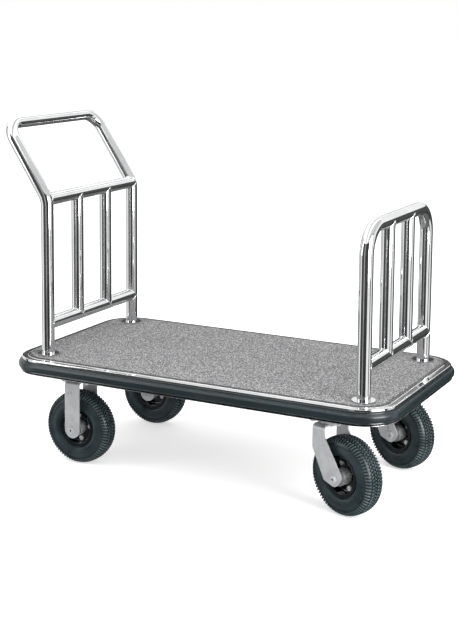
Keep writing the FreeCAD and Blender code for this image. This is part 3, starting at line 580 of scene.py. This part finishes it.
def tube_frame(name, x, spots, radii, rails, top_z):
    """A bent tube, its rails across and its two bars, with a rippled weld at every seam."""
    tube(name + "_tube", spots, radii)
    seams = []
    for node, z in rails:
        tube(node, [Vector((x, -POST_Y, z)), Vector((x, POST_Y, z))])
        seams += [(Vector((x, sign * POST_Y, z)), Vector((0, -sign, 0)), Vector((0, 0, 1)))
                  for sign in (-1, 1)]
    low_z = rails[0][1]
    for label, y in (("right", -BAR_Y), ("left", BAR_Y)):
        tube(f"{name}_bar_{label}", [Vector((x, y, low_z)), Vector((x, y, top_z))])
        seams += [(Vector((x, y, z)), Vector((0, 0, up)), Vector((0, 1, 0)))
                  for z, up in ((low_z, 1), (top_z, -1))]
    points, faces = joined(ring_sweep(weld_path(*seam), weld_radius, True, WELD_SIDES)
                           for seam in seams)
    new_piece(name + "_welds", points, faces, "polished_tube", "cart", sharp=80)


def tube_frames():
    """The handle, whose posts kink back above its crossbar, and the low hoop."""
    low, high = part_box("handle_tube")
    foot, back, top = low.z, low.x + TUBE_RADIUS, high.z - TUBE_RADIUS
    kink = middle("handle_crossbar").z
    tube_frame("handle", HANDLE_X, [
        Vector((HANDLE_X, -POST_Y, foot)), Vector((HANDLE_X, -POST_Y, kink)),
        Vector((back, -POST_Y, top)), Vector((back, POST_Y, top)),
        Vector((HANDLE_X, POST_Y, kink)), Vector((HANDLE_X, POST_Y, foot))],
        (KINK_BEND, HANDLE_BEND, HANDLE_BEND, KINK_BEND),
        (("handle_lower_rail", middle("handle_lower_rail").z), ("handle_crossbar", kink)), kink)
    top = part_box("hoop_tube")[1].z - TUBE_RADIUS
    tube_frame("hoop", HOOP_X, [
        Vector((HOOP_X, -POST_Y, foot)), Vector((HOOP_X, -POST_Y, top)),
        Vector((HOOP_X, POST_Y, top)), Vector((HOOP_X, POST_Y, foot))],
        (HOOP_BEND, HOOP_BEND), (("hoop_lower_rail", middle("hoop_lower_rail").z),), top)


# ---------------------------------------------------------------- wheels
TYRE_STEPS, PITCHES = 144, 72
TREAD_RADIUS = 0.104            # where the widths and slants of the blocks are measured
SLANT_MIDDLE = 0.018            # how far from the crown's middle a slanted block is on its angle
BLOCK_RISE, BLOCK_SINK, BLOCK_LIP = 0.0044, 0.001, 0.0006
SIDE_SHIFT = 0.25               # how much of a pitch each side is ahead or behind
# Each row of blocks on one side of the crown: where it starts and ends along the profile, its
# place in the pitch, and a block's width, slant and number of cuts.
TREAD_ROWS = ((0.0009, 0.0080, 0.0, 0.0052, 0.55, 2), (0.0096, 0.0166, 0.5, 0.0052, -0.55, 2),
              (0.0184, 0.0325, 0.0, 0.0048, 0.2, 4))


def tyre_profile():
    """The carcass outside from the crown's middle to the bead, as (radius, across)."""
    ribs = [(0.0870, 0.0292), (0.0860, 0.0299), (0.0850, 0.0299), (0.0845, 0.0295),
            (0.0835, 0.0295), (0.0830, 0.0299), (0.0820, 0.0299), (0.0815, 0.0296),
            (0.0705, 0.0308), (0.0700, 0.0313), (0.0690, 0.0313), (0.0685, 0.0309)]
    crown = [(0.1035, 0.0), (0.1033, 0.008), (0.1026, 0.0145), (0.1010, 0.0198), (0.0980, 0.0243),
             (0.0942, 0.0272), (0.0905, 0.0286)]
    foot = [(0.0640, 0.0311), (0.0605, 0.0300), (0.0580, 0.0272), (0.0568, 0.0240),
            (0.0480, 0.0240)]
    return crown + ribs + foot


def along_profile(profile, distance, rise):
    """The point at a distance along the profile from its first point, raised off the surface."""
    for (r0, y0), (r1, y1) in zip(profile, profile[1:]):
        length = math.hypot(r1 - r0, y1 - y0)
        if distance <= length:
            t = distance / length
            normal_r, normal_y = (y1 - y0) / length, -(r1 - r0) / length
            return r0 + (r1 - r0) * t + normal_r * rise, y0 + (y1 - y0) * t + normal_y * rise
        distance -= length
    raise ValueError("past the profile's end")


def lipped(start, end, cuts):
    """Places from start to end with a lip at each end, and how high each is off the carcass."""
    first, last = start + BLOCK_LIP * 1.6, end - BLOCK_LIP * 1.6
    places = [start, start + BLOCK_LIP * 0.5]
    places += [first + (last - first) * i / cuts for i in range(cuts + 1)]
    places += [end - BLOCK_LIP * 0.5, end]
    shoulder = BLOCK_RISE - BLOCK_LIP
    lifts = [-BLOCK_SINK, shoulder] + [BLOCK_RISE] * (cuts + 1) + [shoulder, -BLOCK_SINK]
    return list(zip(places, lifts))


def tread_block(profile, start, end, angle, width, slant, cuts):
    """One rubber block: its points, its faces, and 1 for each face of its top, which is painted paler as a
    highlight.

    It is a small grid over the carcass whose border drops into it, with one face as its base.
    """
    rows, columns = lipped(start, end, cuts), lipped(-width / 2, width / 2, 1)
    points = []
    for place, lift in rows:
        for turn, turn_lift in columns:
            r, y = along_profile(profile, place, min(lift, turn_lift))
            a = angle + (turn + slant * (place - SLANT_MIDDLE)) / TREAD_RADIUS
            points.append((r * math.cos(a), y, r * math.sin(a)))
    size = len(rows), len(columns)
    # The top's faces get the paler rubber: a painted highlight.
    wear_and_painted_highlight = [int(0 < r < len(rows) - 2 and 0 < c < len(columns) - 2)
            for r in range(len(rows) - 1) for c in range(len(columns) - 1)]
    return points, grid_faces(*size) + [tuple(grid_border(*size))], wear_and_painted_highlight + [0]


def tyre_mesh():
    """The carcass turned about Y, with its rows of tread blocks on it."""
    profile = tyre_profile()
    inside = [(0.0480, 0.0180), (0.0620, 0.0245), (0.0880, 0.0240), (0.0965, 0.0160),
              (0.0975, 0.0)]
    half = profile + inside
    section = half + [(r, -y) for r, y in half[-2:0:-1]]
    points, faces = turned(section, TYRE_STEPS)
    shades = [0] * len(faces)
    pitch = math.tau / PITCHES
    for i in range(PITCHES):
        for side in (-1, 1):
            for start, end, phase, width, slant, cuts in TREAD_ROWS:
                angle = pitch * (i + (phase + SIDE_SHIFT * side))
                block, block_faces, wear_and_painted_highlight = tread_block(profile, start, end, angle, width, slant,
                                                       cuts)
                base = len(points)
                points += [(x, side * y, z) for x, y, z in block]
                faces += [tuple(base + k for k in face) for face in block_faces]
                shades += wear_and_painted_highlight
    return points, faces, shades


def wheel_frame(label):
    """The matrix from a wheel's own frame, with its axle along Y, to the row frame."""
    joint = JOINTS["spin_" + label]
    turn = math.atan2(-joint["axis"][0], joint["axis"][1])
    return Matrix.Translation(Vector(joint["pos_m"])) @ Matrix.Rotation(turn, 4, "Z")


def tyres():
    """The tyres. The tops of the tread blocks are painted paler than the rest of the rubber, as a painted
    highlight.
    """
    points, faces, shades = tyre_mesh()
    for label in WHEELS:
        piece = new_piece("tyre_tread_" + label, points, faces, "tyre_rubber", "wheel_" + label,
                          wheel_frame(label), sharp=30)
        # The second material paints the block tops paler: a painted highlight.
        piece.data.materials.append(MATERIALS["tread_rubber_painted_highlight"])
        piece.data.polygons.foreach_set("material_index", shades)
        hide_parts("tyre_" + label)


def hub_sleeves():
    """The steel bearing housing that stands out of each side of the rim."""
    line = rounded([(0.0206, 0.0338), (0.0206, 0.0346, 0.0002), (0.0226, 0.0346, 0.0006),
                    (0.0226, 0.0060), (0.0221, 0.0060), (0.0221, 0.0338)])
    points, faces = joined(turned(line, 72, side) for side in (1, -1))
    for label in WHEELS:
        new_piece("hub_sleeve_" + label, points, faces, "bearing_steel", "wheel_" + label,
                  wheel_frame(label))


def axle_buttons():
    """A round face with a drilled centre on the outer head of each axle."""
    line = rounded([(0.0030, 0.0573), (0.0086, 0.0573), (0.0086, 0.0590, 0.0007),
                    (0.0030, 0.0590, 0.0005)])
    drill_radius, drill_ends = 0.0033, (0.0572, 0.0578)
    for label in WHEELS:
        end, hand = label.split("_")
        side = -1 if hand == "right" else 1
        axle = "rear_axles" if end == "rear" else "front_axle_" + hand
        ring = turned(line, 48, side)
        drilled = ring_sweep([Vector((0, side * y, 0)) for y in drill_ends],
                             lambda i: drill_radius, sides=32)
        points, faces = joined([ring, drilled])
        piece = new_piece("axle_button_" + label, points, faces, "zinc_plate", BODY_OF[axle],
                          wheel_frame(label))
        piece.data.materials.append(MATERIALS["black_gloss_enamel"])
        piece.data.polygons.foreach_set("material_index",
                                        [0] * len(ring[1]) + [1] * len(drilled[1]))


# ---------------------------------------------------------------- studio
CARD_RADIUS, CARD_STEPS, DISC_STEPS = 2.7, 24, 64
CEILING_HEIGHT, CEILING_REACH = 3.2, 4.6


def staged_material(name, colour, emission=0.0):
    material, _, shader, _ = new_material(name, Base_Color=colour, Roughness=0.9)
    shader.inputs["Emission Color"].default_value = colour
    shader.inputs["Emission Strength"].default_value = emission
    return material


def staged(name, points, faces, material):
    mesh = bpy.data.meshes.new(name)
    mesh.from_pydata(points, [], faces)
    mesh.materials.append(material)
    piece = bpy.data.objects.new(name, mesh)
    bpy.context.scene.collection.objects.link(piece)
    return piece


def disc(name, radius, height, material):
    angles = [math.tau * i / DISC_STEPS for i in range(DISC_STEPS)]
    points = [(radius * math.cos(a), radius * math.sin(a), height) for a in angles]
    return staged(name, points, [tuple(range(DISC_STEPS))], material)


def only_in_reflections(piece):
    piece.visible_camera = False
    piece.visible_diffuse = False
    piece.visible_shadow = False
    piece.visible_transmission = False


def card(name, start, end, low, high, shade):
    """An upright curved card round the cart, seen only in reflections. Angles are from +X."""
    points = []
    for height in (low, high):
        for i in range(CARD_STEPS + 1):
            angle = math.radians(start + (end - start) * i / CARD_STEPS)
            points.append((BOARD_CENTRE.x + CARD_RADIUS * math.cos(angle),
                           CARD_RADIUS * math.sin(angle), height))
    only_in_reflections(staged(name, points, grid_faces(2, CARD_STEPS + 1),
                               staged_material(name, grey(shade))))


def ceiling_strip(name, start, end, shade):
    """A strip of ceiling across the cart, from one X to another, seen only in reflections."""
    corners = [(start, -CEILING_REACH, CEILING_HEIGHT), (end, -CEILING_REACH, CEILING_HEIGHT),
               (end, CEILING_REACH, CEILING_HEIGHT), (start, CEILING_REACH, CEILING_HEIGHT)]
    only_in_reflections(staged(name, corners, [(0, 1, 2, 3)],
                               staged_material(name, grey(shade))))


def soft_light(name, spot, target, size, power):
    data = bpy.data.lights.new(name, "AREA")
    data.shape = "RECTANGLE"
    data.size, data.size_y = size
    data.energy = power
    lamp = bpy.data.objects.new(name, data)
    bpy.context.scene.collection.objects.link(lamp)
    lamp.location = spot
    lamp.rotation_euler = (Vector(target) - Vector(spot)).to_track_quat("-Z", "Y").to_euler()
    return lamp


def studio():
    """A white room and soft lights. The chrome reflects cards, a dark floor and a ceiling."""
    world = bpy.data.worlds.new("studio")
    world.use_nodes = True
    background = world.node_tree.nodes["Background"]
    background.inputs["Color"].default_value = grey(1)
    background.inputs["Strength"].default_value = 1.0
    bpy.context.scene.world = world
    bpy.context.scene.view_settings.view_transform = "Standard"
    floor = disc("floor", 40, 0, staged_material("studio_floor", rgb("#fafafa"), 0.5))
    floor.visible_glossy = False
    only_in_reflections(disc("dark_floor", 2.6, -0.6, staged_material("dark_floor", grey(0.1))))
    for name, start, end, shade in (
            ("ceiling_rear", -CEILING_REACH, -1.1, 0.82), ("ceiling_lamp_rear", -1.1, -0.35, 0.9),
            ("ceiling_middle", -0.35, 0.35, 0.4), ("ceiling_lamp_front", 0.35, 1.2, 0.95),
            ("ceiling_front", 1.2, CEILING_REACH, 0.45)):
        ceiling_strip(name, start, end, shade)
    soft_light("overhead", (0.2, -0.4, 2.9), (0, 0, 0.3), (1.8, 1.2), 30).visible_glossy = False
    soft_light("right_box", (2.3, -0.75, 1.1), (0.2, 0, 0.35), (1.2, 1.8), 60)
    soft_light("left_box", (-1.9, -1.75, 1.3), (-0.2, 0, 0.35), (0.7, 1.8), 10)
    for name, start, end, low, high, shade in (
            ("card_left", -133, -94, -2.0, 2.4, 0.035), ("card_seam", -94, -80, -2.0, 2.4, 0.25),
            ("card_right", -80, -38, -2.0, 2.4, 0.025), ("card_edge", -172, -162, -2.0, 2.4, 0.02),
            ("card_side", -6, 6, -2.0, 2.4, 0.02), ("card_low", 30, 150, -2.5, 1.08, 0.04),
            ("backdrop", 30, 150, 1.08, 1.9, 0.62)):
        card(name, start, end, low, high, shade)


def camera():
    """A long lens 1.34 m above the floor, tilted a little down, with its frame shifted down."""
    spot = Vector((1.7478, -3.4311, 1.0172)) + Vector((BOARD_CENTRE.x, 0, CARPET_HIGH.z))
    yaw, pitch, roll = 2.0474, -0.1268, 0.0076
    ahead = Vector((math.cos(pitch) * math.cos(yaw), math.cos(pitch) * math.sin(yaw),
                    math.sin(pitch)))
    right = Vector((math.sin(yaw), -math.cos(yaw), 0))
    up = right.cross(ahead)
    tilted_right = right * math.cos(roll) + up * math.sin(roll)
    tilted_up = up * math.cos(roll) - right * math.sin(roll)
    data = bpy.data.cameras.new("camera")
    data.sensor_fit = "AUTO"
    data.sensor_width = 36.0
    data.lens = 77.2006
    data.shift_y = -0.211075
    eye = bpy.data.objects.new("camera", data)
    bpy.context.scene.collection.objects.link(eye)
    turn = Matrix((tilted_right, tilted_up, -ahead)).transposed().to_4x4()
    eye.matrix_world = Matrix.Translation(spot) @ turn
    bpy.context.scene.camera = eye


paint_frame()
carpet()
edge_channel()
bumper()
tube_frames()
tyres()
hub_sleeves()
axle_buttons()
studio()
camera()
